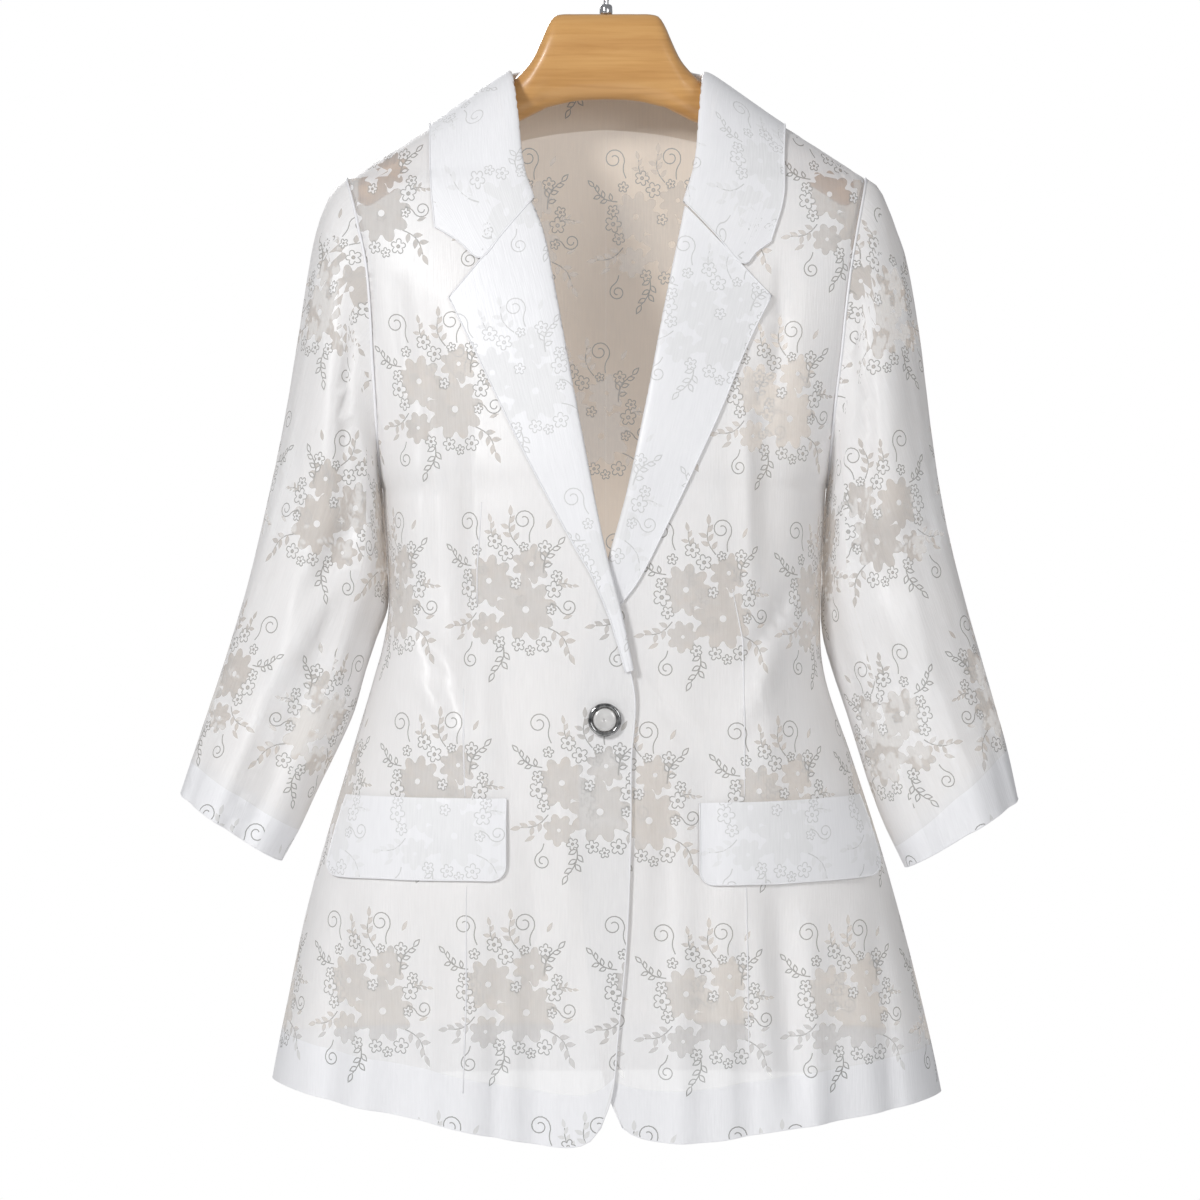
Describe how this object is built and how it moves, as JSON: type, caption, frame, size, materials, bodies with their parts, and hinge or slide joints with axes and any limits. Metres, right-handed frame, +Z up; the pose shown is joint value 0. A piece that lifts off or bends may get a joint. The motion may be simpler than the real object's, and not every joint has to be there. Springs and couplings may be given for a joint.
{
  "type": "blazer on hanger",
  "caption": "Women's blazer of white burnout organza with notch lapels, flap pockets and three-quarter sleeves, hanging on a contoured wooden hanger.",
  "frame": {"origin": "inner top of the hanger's hook, where a rail carries the part", "axes": "+Z up, +X to the wearer's left, which is picture right, -Y out of the front"},
  "size_m": [0.565, 0.1984, 0.8185],
  "materials": {
    "burnout_cloth": "thin white burnout cloth, satin floral ground with sheer motifs",
    "varnished_wood": "clear gloss varnish on golden wood",
    "chrome": "polished",
    "pearl": "pearly grey"
  },
  "bodies": {
    "root": {"front_right": "burnout_cloth", "back_right": "burnout_cloth", "lapel_right": "burnout_cloth", "flap_right": "burnout_cloth", "front_left": "burnout_cloth", "back_left": "burnout_cloth", "lapel_left": "burnout_cloth", "flap_left": "burnout_cloth", "sleeve_right_upper": "burnout_cloth", "sleeve_right_under": "burnout_cloth", "sleeve_left_upper": "burnout_cloth", "sleeve_left_under": "burnout_cloth", "collar": "burnout_cloth", "hanger_wood": "varnished_wood", "hanger_hook": "chrome", "hook_ferrule": "chrome", "button_rim": "chrome", "button_centre": "pearl"}
  },
  "joints": []
}
